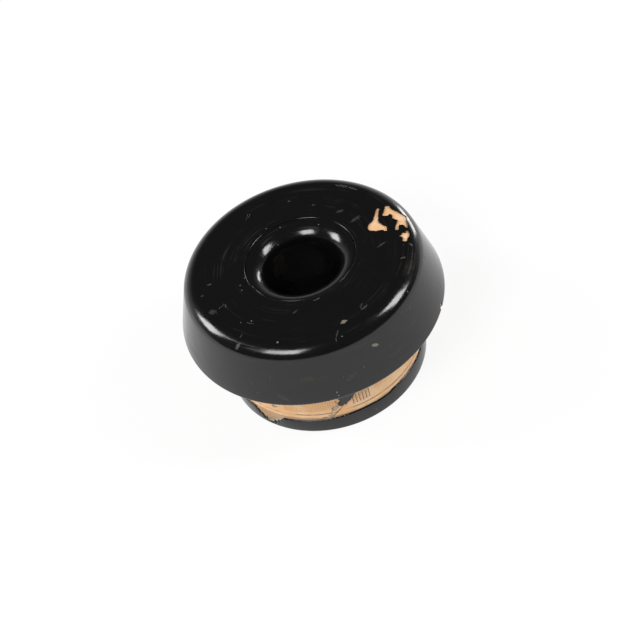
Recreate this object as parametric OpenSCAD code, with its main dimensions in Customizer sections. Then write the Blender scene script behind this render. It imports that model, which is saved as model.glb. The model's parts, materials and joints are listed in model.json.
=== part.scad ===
// Two-part ceramic fence insulator: a skirted cap cemented over a bored core.
// Origin: centre of the foot's resting face. +Z runs up the bore.
// Sizes over the coat are the finished ones; the clay lies one coat beneath them.

/* [Cap] */
// Diameter of the skirt over its coat
skirt_d = 56; // [54:0.5:70]
// Height of the cap, from the skirt's lower edge to the top face
cap_h = 12.8; // [10:0.1:20]
// Lean of the cap's outer wall from upright, in degrees
wall_lean = 17; // [8:0.5:22]
// Radius of the shoulder between the wall and the top face
shoulder_r = 3.7; // [2:0.1:5]
// Thickness of the skirt at its lower edge, over the coat
skirt_t = 3.2; // [2.4:0.1:3.6]
// Radius of the skirt's two lower edges
rim_r = 0.6; // [0.4:0.05:0.9]
// Height of the drip recess inside the skirt
recess_h = 3; // [2.2:0.1:4]
// Radius where the drip recess turns from its wall into its ceiling, as far as there is room
cove_r = 1.8; // [1:0.1:2.2]

/* [Foot and neck] */
// Diameter of the foot over its coat
foot_d = 43.4; // [38:0.2:45]
// Height of the skirt's lower edge above the resting face
foot_h = 17.1; // [14:0.1:24]
// Height of the turned line round the neck
turned_line_z = 5.35; // [4.8:0.05:6.4]
// Depth of the turned line, which is cut as a vee
turned_line_depth = 0.15; // [0.05:0.05:0.3]
// Chamfer round the foot's lower edge
foot_chamfer = 0.2; // [0.1:0.05:0.5]
// Directions where the fine scoring on the neck starts and ends, in degrees from -Y towards +X
score_dir = -34; // [-60:1:-20]
score_end_dir = -4; // [-10:1:0]
// Height of the scoring's lower end above the resting face
score_z = 6.4; // [5.8:0.1:7]
// Height of the scoring
score_h = 2.8; // [1:0.1:5]
// Width of each scored line
score_w = 0.2; // [0.1:0.02:0.3]
// Step between the fine scored lines, in degrees
score_pitch = 1.4; // [1:0.1:3]
// Depth of the fine scored lines
score_depth = 0.05; // [0.02:0.01:0.15]
// Directions where the coarse scoring starts and ends, in degrees from -Y towards +X
coarse_dir = 6; // [2:1:10]
coarse_end_dir = 15; // [11:1:60]
// Step between the coarse scored lines, in degrees
coarse_pitch = 1.95; // [1.2:0.05:4]
// Depth of the coarse scored lines
coarse_depth = 0.12; // [0.04:0.02:0.25]

/* [Bore] */
// Diameter of the finished bore
bore_d = 17.5; // [10:0.1:22]
// Radius of the rolled lip at the bore's upper mouth
lip_r = 2.5; // [1.5:0.1:4]
// Radius of the bore's lower mouth in the clay
mouth_r = 1; // [0.5:0.1:2]

/* [Cemented joint] */
// Flat land between the lip's curve and the seam
seam_land = 0.15; // [0.1:0.05:1]
// Width of the open seam
seam_gap = 0.15; // [0.1:0.05:0.3]
// Depth of the close fit beneath the seam, above the cement
seam_depth = 1.2; // [0.8:0.1:2]
// How much wider the spigot is at the core's shoulder than at the seam, in radius
spigot_spread = 2.1; // [0.5:0.1:4]
// Height of the core's shoulder above the skirt's lower edge
seat_h = 6; // [4.6:0.1:7.5]
// Thickness of the cement round the spigot and under the cap
cement_t = 0.4; // [0.3:0.05:0.8]
// Width and depth of the cement squeezed out round the neck
squeeze_out = 0.6; // [0.4:0.1:0.9]
// Number of keying grooves turned round the spigot
key_count = 3; // [0:1:4]
// Radius of each keying groove
key_r = 0.35; // [0.2:0.05:0.5]

/* [Coat] */
// Thickness of the glossy coat
coat_t = 0.3; // [0.2:0.02:0.38]
// Mean height of the coat's upper edge on the foot
dip_h = 3.8; // [3:0.1:4.4]
// Tilt of that edge, in degrees
dip_tilt = 1.6; // [0:0.1:1.8]
// Bare clay left between the foot's coat and the resting face
dry_h = 0.2; // [0.1:0.05:0.5]
// Direction of the island of coat on the neck, in degrees from -Y towards +X
island_dir = 2; // [-10:1:10]
// Height of the island's lower tip above the resting face
island_z = 7; // [6.6:0.1:7.6]
// Width of the island of coat
island_w = 4; // [2:0.1:8]
// Height of the island of coat
island_h = 5.6; // [2:0.1:8]
// Direction of the bite in the foot's coat, in degrees from -Y towards +X
bite_dir = -45; // [-60:1:-30]
// Width of the bite in the foot's coat
bite_w = 7.4; // [3:0.1:9]
// Direction of the chip on the skirt's rim, in degrees from -Y towards +X
rim_chip_dir = 62; // [50:1:75]
// Radius of the chip on the skirt's rim
rim_chip_r = 1.1; // [0.5:0.1:1.6]

/* [Hidden] */
$fn = 96;
arc_steps = 8;

clay = [0.80, 0.64, 0.47];
coat = [0.06, 0.06, 0.065];
cement = [0.55, 0.54, 0.51];

skirt_r = skirt_d / 2;
recess_r = skirt_r - skirt_t;
foot_r = foot_d / 2;
neck_r = foot_r - coat_t;
bore_r = bore_d / 2;
spigot_r = bore_r + lip_r + seam_land;
spigot_base_r = spigot_r + spigot_spread;
hole_r = spigot_r + seam_gap;
socket_r = neck_r + cement_t;
cove_fit_r = min(cove_r, recess_r - socket_r - squeeze_out);
top_z = foot_h + cap_h;
seat_z = foot_h + seat_h;
ceiling_z = foot_h + recess_h;
key_top_z = top_z - seam_depth;
dip_top_z = dip_h + skirt_r * tan(dip_tilt);

// Centres of the rounded stretches of the cap's outline, as [radius, height].
rim_out_c = [skirt_r - rim_r, foot_h + rim_r];
rim_in_c = [recess_r + rim_r, foot_h + rim_r];
cove_c = [recess_r - cove_fit_r, ceiling_z - cove_fit_r];
shoulder_cz = top_z - shoulder_r;
shoulder_cr = rim_out_c.x
    - (shoulder_r - rim_r + (shoulder_cz - rim_out_c.y) * sin(wall_lean)) / cos(wall_lean);
shoulder_c = [shoulder_cr, shoulder_cz];
lip_c = [bore_r + lip_r, top_z - lip_r];

// Points along an arc about c, from direction a0 to a1 in degrees.
function arc(c, r, a0, a1) =
    [for (i = [0:arc_steps]) let (a = a0 + (a1 - a0) * i / arc_steps) c + r * [cos(a), sin(a)]];

function backwards(points) = [for (i = [len(points) - 1:-1:0]) points[i]];

// The cap's outside at a depth t beneath the finished surface: from the seam over the
// shoulder, down the wall, round the rim and up into the drip recess.
function cap_line(t) = concat(
    [[hole_r, top_z - t]],
    arc(shoulder_c, shoulder_r - t, 90, wall_lean),
    arc(rim_out_c, rim_r - t, wall_lean, -90),
    arc(rim_in_c, rim_r - t, -90, -180),
    arc(cove_c, cove_fit_r + t, 0, 90),
    [[socket_r, ceiling_z + t]]);

// The lip at a depth t beneath the finished surface, from the seam over into the bore.
function lip_line(t) = concat([[spigot_r, top_z - t]], arc(lip_c, lip_r - t, 90, 180));

// The spigot's flank, which spreads in a straight taper down to the core's shoulder.
function flank_r(z) =
    spigot_r + (spigot_base_r - spigot_r) * (key_top_z - z) / (key_top_z - seat_z);

// A solid that reaches outward from the axis, its outline seen from outside as
// [distance along the surface, height].
module outward(direction, outline) {
    rotate([0, 0, direction])
        rotate([90, 0, 0])
            linear_extrude(height = skirt_r)
                polygon(outline);
}

// A sleeve of coat round the neck and foot.
module neck_sleeve(z0, z1) {
    translate([0, 0, z0])
        difference() {
            cylinder(r = foot_r, h = z1 - z0);
            translate([0, 0, -1])
                cylinder(r = neck_r, h = z1 - z0 + 2);
        }
}

// Profile of the keying grooves, evenly spread down the spigot's flank.
module key_profile() {
    for (i = [1:1:key_count]) {
        z = seat_z + (key_top_z - seat_z) * i / (key_count + 1);
        translate([flank_r(z), z])
            circle(r = key_r);
    }
}

// Upright scoring on the neck, from one direction to another in degrees from -Y.
module scoring(from, to, pitch, depth) {
    for (a = [from:pitch:to])
        rotate([0, 0, a])
            translate([-score_w / 2, -neck_r - depth, score_z])
                cube([score_w, 2 * depth, score_h]);
}

module spool_core() {
    color(clay)
        difference() {
            rotate_extrude()
                difference() {
                    polygon(concat(
                        [[neck_r - foot_chamfer, 0],
                         [neck_r, foot_chamfer],
                         [neck_r, turned_line_z - turned_line_depth],
                         [neck_r - turned_line_depth, turned_line_z],
                         [neck_r, turned_line_z + turned_line_depth],
                         [neck_r, seat_z],
                         [spigot_base_r, seat_z],
                         [spigot_r, key_top_z]],
                        lip_line(coat_t),
                        arc([bore_r + coat_t + mouth_r, mouth_r], mouth_r, 180, 270)));
                    key_profile();
                }
            scoring(score_dir, score_end_dir, score_pitch, score_depth);
            scoring(coarse_dir, coarse_end_dir, coarse_pitch, coarse_depth);
        }
}

module cap_shell() {
    color(clay)
        rotate_extrude()
            polygon(concat(
                cap_line(coat_t),
                [[socket_r, seat_z + cement_t],
                 [spigot_base_r + cement_t, seat_z + cement_t],
                 [spigot_r + cement_t, key_top_z],
                 [hole_r, key_top_z]]));
}

module cement_joint() {
    color(cement)
        rotate_extrude()
            intersection() {
                union() {
                    polygon([
                        [neck_r, ceiling_z - squeeze_out],
                        [socket_r + squeeze_out, ceiling_z],
                        [socket_r, ceiling_z],
                        [socket_r, seat_z + cement_t],
                        [spigot_base_r + cement_t, seat_z + cement_t],
                        [spigot_r + cement_t, key_top_z],
                        [spigot_r, key_top_z],
                        [spigot_base_r, seat_z],
                        [neck_r, seat_z]]);
                    key_profile();
                }
                // The cap's socket, which bounds the cement where a groove is deeper than it is thick
                polygon([
                    [bore_r, ceiling_z - squeeze_out],
                    [neck_r, ceiling_z - squeeze_out],
                    [socket_r + squeeze_out, ceiling_z],
                    [socket_r, ceiling_z],
                    [socket_r, seat_z + cement_t],
                    [spigot_base_r + cement_t, seat_z + cement_t],
                    [spigot_r + cement_t, key_top_z],
                    [bore_r, key_top_z]]);
            }
}

// Outlines of the chips on the top and shoulder, seen from above with the shoulder's start at
// the origin.
module top_chips() {
    // Boot-shaped chip on the top face
    polygon([[-3.2, 7.6], [-2.8, 7.1], [-3.5, 5.5], [-3.9, 3.7], [-3.4, 2.3], [-2.8, 1.6],
             [-3, 0.2], [-4.2, 0.8], [-5.4, 1.1], [-6.5, 2.2], [-6.1, 3.4], [-4.9, 4.3],
             [-3.9, 6.4]]);
    // Long chip down the shoulder
    polygon([[-2.8, 5.2], [-2, 6.5], [-1.3, 7.4], [-0.8, 7.2], [-0.5, 6], [0.9, 4.4], [1.9, 3.2],
             [1.5, 1.6], [1.3, -0.5], [0.7, 0.2], [-0.3, 0.8], [-0.6, -0.4], [-1.4, -0.3],
             [-0.9, 1.1], [-0.2, 2.1], [-1.1, 3.2], [-1, 4.4], [-1.7, 4.4]]);
    // Small chip below it
    polygon([[-0.3, -1.4], [0.5, -1.8], [1.1, -1.5], [1.1, -2.3], [0.4, -3.5], [-0.2, -4.3],
             [-0.8, -4], [-0.6, -2.9], [-0.9, -2.3]]);
}

module cap_glaze() {
    color(coat)
        difference() {
            rotate_extrude()
                polygon(concat(cap_line(0), backwards(cap_line(coat_t))));
            translate([shoulder_c.x, 0, seat_z])
                linear_extrude(height = cap_h)
                    top_chips();
            rotate([0, 0, rim_chip_dir - 90])
                translate([skirt_r, 0, foot_h + rim_r])
                    sphere(r = rim_chip_r);
        }
}

module bore_glaze() {
    color(coat)
        rotate_extrude()
            polygon(concat(
                lip_line(0),
                [[bore_r, mouth_r], [bore_r + coat_t, mouth_r]],
                backwards(lip_line(coat_t))));
}

module foot_glaze() {
    color(coat)
        difference() {
            neck_sleeve(dry_h, dip_top_z);
            // The dip line: everything above a slightly tilted level
            translate([0, 0, dip_h])
                rotate([0, -dip_tilt, 0])
                    translate([-skirt_r, -skirt_r, 0])
                        cube([2 * skirt_r, 2 * skirt_r, foot_h]);
            // A bite out of the coat, nearly down to the foot's edge
            outward(bite_dir, [[-bite_w / 2, foot_h],
                               [-bite_w / 2, 0.87 * dip_h],
                               [-0.27 * bite_w, 0.47 * dip_h],
                               [-0.12 * bite_w, 0.26 * dip_h],
                               [0.04 * bite_w, 0.16 * dip_h],
                               [0.16 * bite_w, 0.34 * dip_h],
                               [0.31 * bite_w, 0.63 * dip_h],
                               [bite_w / 2, dip_h],
                               [bite_w / 2, foot_h]]);
        }
}

module neck_glaze_patch() {
    // The island's outline as shares of its width and height
    outline = [[-0.4, 1], [-0.48, 0.46], [-0.3, 0.29], [-0.52, 0.14], [-0.37, 0], [-0.12, 0.05],
               [0.15, 0.18], [0.32, 0.39], [0.48, 0.5], [0.43, 1]];
    color(coat)
        intersection() {
            neck_sleeve(island_z, island_z + island_h);
            outward(island_dir,
                    [for (p = outline) [p.x * island_w, island_z + p.y * island_h]]);
        }
}

spool_core();
cap_shell();
cement_joint();
cap_glaze();
bore_glaze();
foot_glaze();
neck_glaze_patch();
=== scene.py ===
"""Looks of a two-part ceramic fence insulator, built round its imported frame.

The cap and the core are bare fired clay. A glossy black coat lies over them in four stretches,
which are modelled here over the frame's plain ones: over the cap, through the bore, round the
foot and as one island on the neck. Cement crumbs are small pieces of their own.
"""

import json
import logging
import math
import random
from dataclasses import dataclass, field
from enum import Enum
from typing import Callable, Optional, Sequence, Union

import bmesh
import bpy
from mathutils import Matrix, Vector


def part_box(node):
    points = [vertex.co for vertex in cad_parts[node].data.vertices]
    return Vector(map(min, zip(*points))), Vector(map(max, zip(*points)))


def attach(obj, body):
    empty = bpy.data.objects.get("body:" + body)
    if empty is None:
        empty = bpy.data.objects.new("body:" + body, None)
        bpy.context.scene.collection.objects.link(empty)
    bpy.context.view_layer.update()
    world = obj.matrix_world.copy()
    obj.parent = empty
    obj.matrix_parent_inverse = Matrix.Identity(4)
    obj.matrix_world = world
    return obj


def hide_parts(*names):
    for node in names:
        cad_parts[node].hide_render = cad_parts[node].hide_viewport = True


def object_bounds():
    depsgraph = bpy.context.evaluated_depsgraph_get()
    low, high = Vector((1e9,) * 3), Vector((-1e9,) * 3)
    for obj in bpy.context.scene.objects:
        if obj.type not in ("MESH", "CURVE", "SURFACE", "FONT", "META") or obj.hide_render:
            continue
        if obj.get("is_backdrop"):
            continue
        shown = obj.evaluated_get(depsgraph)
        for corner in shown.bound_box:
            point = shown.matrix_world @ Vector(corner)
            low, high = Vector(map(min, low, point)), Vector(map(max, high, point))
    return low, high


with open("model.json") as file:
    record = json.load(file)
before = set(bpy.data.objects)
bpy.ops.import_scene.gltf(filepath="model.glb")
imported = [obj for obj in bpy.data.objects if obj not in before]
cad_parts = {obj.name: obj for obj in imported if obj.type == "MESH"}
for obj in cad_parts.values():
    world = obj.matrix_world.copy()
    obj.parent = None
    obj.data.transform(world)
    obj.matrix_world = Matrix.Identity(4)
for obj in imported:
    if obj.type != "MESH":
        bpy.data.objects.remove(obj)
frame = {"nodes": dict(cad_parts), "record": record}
CAD_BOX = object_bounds()

logging.basicConfig(level=logging.INFO, format="%(name)s: %(message)s")
LOG = logging.getLogger("insulator")

MM = 0.001
Point = tuple[float, float]
Colour = tuple[float, float, float]
Socket = bpy.types.NodeSocket
Value = Union[float, Socket]


class Slot(Enum):
    """The record's material slots."""

    CLAY = "fired_clay"
    COAT = "black_coat"
    CEMENT = "cement"


# ---------------------------------------------------------------------------------------------
# Sizes
# ---------------------------------------------------------------------------------------------


@dataclass(frozen=True)
class Sizes:
    """The frame's main sizes, in millimetres.

    Attributes:
        skirt_r: Radius of the skirt over its coat.
        skirt_z: Height of the skirt's lower edge.
        top_z: Height of the top face.
        foot_r: Radius of the foot over its coat.
        neck_r: Radius of the bare neck.
        bore_r: Radius of the finished bore.
        mouth_z: Height of the lining's lower end.
        dry_z: Height of the foot coat's lower end.
        spigot_r: Radius of the lip's outer edge at the seam.
    """

    skirt_r: float
    skirt_z: float
    top_z: float
    foot_r: float
    neck_r: float
    bore_r: float
    mouth_z: float
    dry_z: float
    spigot_r: float

    @classmethod
    def from_frame(cls) -> "Sizes":
        """Reads the sizes off the frame's nodes and its bore mount."""
        cap_lo, cap_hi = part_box("cap_glaze")
        foot_lo, foot_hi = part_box("foot_glaze")
        lining_lo, lining_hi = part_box("bore_glaze")
        mounts = {mount["name"]: mount for mount in frame["record"]["mounts"]}
        return cls(
            skirt_r=max(cap_hi.x, cap_hi.y) / MM,
            skirt_z=cap_lo.z / MM,
            top_z=cap_hi.z / MM,
            foot_r=foot_hi.x / MM,
            neck_r=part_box("spool_core")[1].x / MM,
            bore_r=mounts["bore"]["dims"]["r_mm"],
            mouth_z=lining_lo.z / MM,
            dry_z=foot_lo.z / MM,
            spigot_r=lining_hi.x / MM,
        )

    @property
    def coat_t(self) -> float:
        """Thickness of the coat."""
        return self.foot_r - self.neck_r


# ---------------------------------------------------------------------------------------------
# Outlines and meshes
# ---------------------------------------------------------------------------------------------


def arc(centre: Point, radius: float, start: float, end: float, steps: int) -> list[Point]:
    """Points along an arc.

    Args:
        centre: The arc's centre, as (radius from the axis, height).
        radius: The arc's own radius.
        start: Direction of its first point, in degrees.
        end: Direction of its last point, in degrees.
        steps: How many stretches it is cut into.

    Returns:
        The points in order, both ends included.
    """
    turns = [math.radians(start + (end - start) * i / steps) for i in range(steps + 1)]
    return [(centre[0] + radius * math.cos(a), centre[1] + radius * math.sin(a)) for a in turns]


def line(start: Point, end: Point, steps: int) -> list[Point]:
    """Points between two ends of a straight stretch, without the ends.

    Args:
        start: The first end.
        end: The last end.
        steps: How many stretches it is cut into.

    Returns:
        The points between the ends, in order.
    """
    return [
        (start[0] + (end[0] - start[0]) * i / steps, start[1] + (end[1] - start[1]) * i / steps)
        for i in range(1, steps)
    ]


def ragged(outline: Sequence[Point], rough: float, rounds: int, seed: int) -> list[Point]:
    """Breaks the straight sides of an outline up into the crisp steps of a broken edge.

    Args:
        outline: The closed outline's corners.
        rough: Sideways throw of a new corner, as a share of its side's length.
        rounds: How many times each side is halved.
        seed: Seed of the throws.

    Returns:
        The finer closed outline.
    """
    dice = random.Random(seed)
    corners = list(outline)
    for _ in range(rounds):
        finer = []
        for (x0, y0), (x1, y1) in zip(corners, corners[1:] + corners[:1]):
            throw = dice.uniform(-rough, rough)
            share = dice.uniform(0.35, 0.65)
            finer.append((x0, y0))
            finer.append((x0 + (x1 - x0) * share - (y1 - y0) * throw,
                          y0 + (y1 - y0) * share + (x1 - x0) * throw))
        corners = finer
    return corners


def revolve(outline: Sequence[Point], steps: int, sweep: float = 360.0) -> bmesh.types.BMesh:
    """Spins a closed outline about the axis, in metres.

    Args:
        outline: Closed outline as (radius, height) in millimetres.
        steps: Stretches round the axis.
        sweep: Angle to sweep, in degrees. Less than a full turn starts at -Y, half each way.

    Returns:
        A closed mesh with its faces outwards.
    """
    full = sweep >= 360.0
    form = bmesh.new()
    corners = [form.verts.new((0.0, -r * MM, z * MM)) for r, z in outline]
    edges = [form.edges.new(pair) for pair in zip(corners, corners[1:] + corners[:1])]
    geom = corners + edges
    if not full:
        geom = geom + [form.faces.new(corners)]
    turn = Matrix.Rotation(math.radians(-sweep / 2), 3, "Z")
    if not full:
        bmesh.ops.rotate(form, verts=corners, matrix=turn)
    bmesh.ops.spin(
        form,
        geom=geom,
        cent=(0, 0, 0),
        axis=(0, 0, 1),
        angle=math.radians(sweep),
        steps=steps,
        use_merge=full,
        use_duplicate=False,
    )
    bmesh.ops.remove_doubles(form, verts=form.verts, dist=0.0005 * MM)
    bmesh.ops.recalc_face_normals(form, faces=form.faces)
    return form


def prism(outline: Sequence[Point], low: float, high: float) -> bmesh.types.BMesh:
    """Extrudes a flat outline straight up, in metres.

    Args:
        outline: Closed outline as (x, y) in millimetres.
        low: Height of its lower face.
        high: Height of its upper face.

    Returns:
        A closed mesh with its faces outwards.
    """
    form = bmesh.new()
    face = form.faces.new([form.verts.new((x * MM, y * MM, low * MM)) for x, y in outline])
    grown = bmesh.ops.extrude_face_region(form, geom=[face])
    tops = [v for v in grown["geom"] if isinstance(v, bmesh.types.BMVert)]
    bmesh.ops.translate(form, verts=tops, vec=(0, 0, (high - low) * MM))
    bmesh.ops.recalc_face_normals(form, faces=form.faces)
    return form


def finished(form: bmesh.types.BMesh, name: str,
             *materials: bpy.types.Material) -> bpy.types.Object:
    """Turns a bmesh into a smooth-shaded object.

    Args:
        form: The mesh, which is freed.
        name: The object's name.
        materials: Its materials, in slot order.

    Returns:
        The new object.
    """
    mesh = bpy.data.meshes.new(name)
    form.to_mesh(mesh)
    form.free()
    for material in materials:
        mesh.materials.append(material)
    mesh.shade_smooth()
    piece = bpy.data.objects.new(name, mesh)
    bpy.context.scene.collection.objects.link(piece)
    return piece


def carve(piece: bpy.types.Object, cutter: bpy.types.Object, operation: str) -> None:
    """Cuts a piece by another object and throws the cutter away.

    Args:
        piece: The piece to cut. Its mesh is replaced by the result.
        cutter: The cutting object.
        operation: DIFFERENCE or INTERSECT.
    """
    modifier = piece.modifiers.new("carve", "BOOLEAN")
    modifier.object = cutter
    modifier.operation = operation
    modifier.solver = "EXACT"
    graph = bpy.context.evaluated_depsgraph_get()
    mesh = bpy.data.meshes.new_from_object(piece.evaluated_get(graph))
    piece.modifiers.clear()
    old, piece.data = piece.data, mesh
    bpy.data.meshes.remove(old)
    mesh.name = piece.name
    bpy.data.objects.remove(cutter)


def keep_form_normals(
    piece: bpy.types.Object, wall_slot: int, normal_at: Callable[[Vector], Vector]
) -> None:
    """Gives the faces beside a cut the smooth form's own normals, and the cut's walls their own.

    Args:
        piece: The cut piece.
        wall_slot: Material slot that the cut's walls carry.
        normal_at: The smooth form's normal at a point on it.
    """
    mesh = piece.data
    walls = {face.index for face in mesh.polygons if face.material_index == wall_slot}
    rim = {v for face in mesh.polygons if face.index in walls for v in face.vertices}
    normals = [Vector((0, 0, 0))] * len(mesh.loops)
    for face in mesh.polygons:
        for loop_index in face.loop_indices:
            vertex = mesh.loops[loop_index].vertex_index
            if face.index in walls:
                normals[loop_index] = face.normal.copy()
            elif vertex in rim:
                normals[loop_index] = normal_at(mesh.vertices[vertex].co)
    mesh.normals_split_custom_set(normals)


# ---------------------------------------------------------------------------------------------
# Node graphs
# ---------------------------------------------------------------------------------------------


class Graph:
    """A short way to write a node tree."""

    def __init__(self, tree: bpy.types.NodeTree) -> None:
        """Wraps a tree."""
        self.tree = tree

    def node(self, kind: str, **settings: object) -> bpy.types.Node:
        """Adds a node of a kind and sets its properties."""
        node = self.tree.nodes.new(kind)
        for key, value in settings.items():
            setattr(node, key, value)
        return node

    def feed(self, socket: Socket, value: object) -> None:
        """Links a socket to another one, or sets its value."""
        if isinstance(value, bpy.types.NodeSocket):
            self.tree.links.new(value, socket)
        else:
            socket.default_value = value

    def math(self, operation: str, *values: Value, clamp: bool = False) -> Socket:
        """Adds a Math node and returns its result."""
        node = self.node("ShaderNodeMath", operation=operation, use_clamp=clamp)
        for socket, value in zip(node.inputs, values):
            self.feed(socket, value)
        return node.outputs[0]

    def most(self, *values: Value) -> Socket:
        """The largest of several values."""
        result = values[0]
        for value in values[1:]:
            result = self.math("MAXIMUM", result, value)
        return result

    def total(self, *values: Value) -> Socket:
        """The sum of several values."""
        result = values[0]
        for value in values[1:]:
            result = self.math("ADD", result, value)
        return result

    def span(self, value: Value, low: float, high: float, out_low: float = 0.0,
             out_high: float = 1.0, smooth: bool = True) -> Socket:
        """Maps a value's range onto another, with soft ends.

        Args:
            value: What is mapped.
            low: Value that gives out_low.
            high: Value that gives out_high.
            out_low: Result at low.
            out_high: Result at high.
            smooth: Whether the ends are soft.

        Returns:
            The mapped value.
        """
        node = self.node("ShaderNodeMapRange")
        node.interpolation_type = "SMOOTHSTEP" if smooth else "LINEAR"
        for key, number in (("Value", value), ("From Min", low), ("From Max", high),
                            ("To Min", out_low), ("To Max", out_high)):
            self.feed(node.inputs[key], number)
        return node.outputs["Result"]

    def mix(self, share: Value, first: object, second: object) -> Socket:
        """Mixes two colours, either given as sockets or as red, green and blue."""
        node = self.node("ShaderNodeMix", data_type="RGBA")
        self.feed(node.inputs[0], share)
        for socket, value in ((node.inputs[6], first), (node.inputs[7], second)):
            self.feed(socket, (*value, 1.0) if isinstance(value, tuple) else value)
        return node.outputs[2]

    def noise(self, place: Socket, scale: float, detail: float = 2.0, rough: float = 0.5) -> Socket:
        """Adds a Noise Texture and returns its factor."""
        node = self.node("ShaderNodeTexNoise")
        for key, number in (("Vector", place), ("Scale", scale), ("Detail", detail),
                            ("Roughness", rough)):
            self.feed(node.inputs[key], number)
        return node.outputs["Fac"]

    def joined(self, x: Value, y: Value, z: Value) -> Socket:
        """Joins three values into a vector."""
        node = self.node("ShaderNodeCombineXYZ")
        for socket, value in zip(node.inputs, (x, y, z)):
            self.feed(socket, value)
        return node.outputs[0]

    def group(self, tree: bpy.types.NodeTree, **inputs: object) -> bpy.types.Node:
        """Places a node group, its inputs given by name with underscores for spaces."""
        node = self.node("ShaderNodeGroup")
        node.node_tree = tree
        for key, value in inputs.items():
            self.feed(node.inputs[key.replace("_", " ")], value)
        return node


def new_group(name: str, inputs: dict[str, float], outputs: Sequence[str],
              vectors: Sequence[str] = ()) -> tuple[Graph, bpy.types.Node, bpy.types.Node]:
    """Makes an empty shader node group with named sockets.

    Args:
        name: The group's name.
        inputs: Its value inputs and their defaults.
        outputs: Its value outputs.
        vectors: Its vector inputs.

    Returns:
        The group's graph, and its input and output nodes.
    """
    tree = bpy.data.node_groups.new(name, "ShaderNodeTree")
    for key in vectors:
        tree.interface.new_socket(key, in_out="INPUT", socket_type="NodeSocketVector")
    for key, default in inputs.items():
        socket = tree.interface.new_socket(key, in_out="INPUT", socket_type="NodeSocketFloat")
        socket.default_value = default
    for key in outputs:
        tree.interface.new_socket(key, in_out="OUTPUT", socket_type="NodeSocketFloat")
    graph = Graph(tree)
    return graph, graph.node("NodeGroupInput"), graph.node("NodeGroupOutput")


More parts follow.
